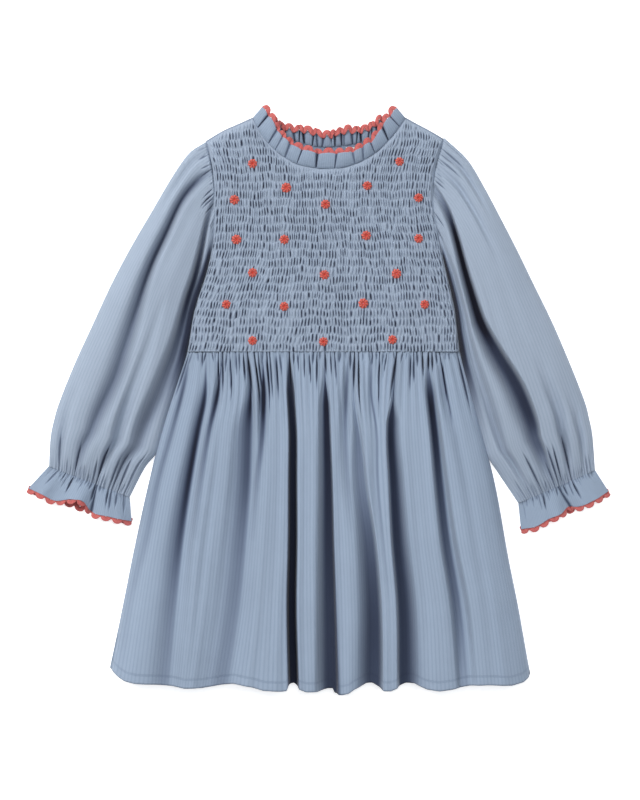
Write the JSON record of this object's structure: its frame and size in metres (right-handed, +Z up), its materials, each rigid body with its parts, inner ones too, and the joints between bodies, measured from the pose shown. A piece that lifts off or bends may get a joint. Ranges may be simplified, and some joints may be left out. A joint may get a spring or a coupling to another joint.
{
  "type": "smocked dress",
  "caption": "Child's long-sleeved cotton dress laid flat, with a smocked bodice, gathered skirt, frilled neck and cuffs edged with rickrack, and embroidered rosettes.",
  "frame": {"origin": "middle of the dress in plan, on the surface that it lies on", "axes": "+X across the dress towards the sleeve on the right of the picture, +Y from the hem to the neck, +Z up from the surface"},
  "size_m": [0.579, 0.5839, 0.03],
  "materials": {
    "blue_cotton": "soft woven cotton with a fine tonal stripe and a slight sheen",
    "smocked_cotton": "the same cotton, shirred on elastic rows",
    "coral_braid": "matte woven rickrack braid",
    "coral_thread": "embroidery thread with a low sheen",
    "white_tape": "plain woven tape"
  },
  "bodies": {
    "root": {"bodice_front": "smocked_cotton", "bodice_back_left": "blue_cotton", "bodice_back_right": "blue_cotton", "skirt_front": "blue_cotton", "skirt_back": "blue_cotton", "sleeve_left": "blue_cotton", "sleeve_right": "blue_cotton", "cuff_frill_left": "blue_cotton", "cuff_frill_right": "blue_cotton", "neck_frill_front": "blue_cotton", "neck_frill_back_left": "blue_cotton", "neck_frill_back_right": "blue_cotton", "rickrack_neck_front": "coral_braid", "rickrack_neck_back_left": "coral_braid", "rickrack_neck_back_right": "coral_braid", "rickrack_cuff_left": "coral_braid", "rickrack_cuff_right": "coral_braid", "neck_label": "white_tape", "rosette_01": "coral_thread", "rosette_02": "coral_thread", "rosette_03": "coral_thread", "rosette_04": "coral_thread", "rosette_05": "coral_thread", "rosette_06": "coral_thread", "rosette_07": "coral_thread", "rosette_08": "coral_thread", "rosette_09": "coral_thread", "rosette_10": "coral_thread", "rosette_11": "coral_thread", "rosette_12": "coral_thread", "rosette_13": "coral_thread", "rosette_14": "coral_thread", "rosette_15": "coral_thread", "rosette_16": "coral_thread", "rosette_17": "coral_thread", "rosette_18": "coral_thread", "rosette_19": "coral_thread", "rosette_20": "coral_thread", "rosette_21": "coral_thread"}
  },
  "joints": []
}
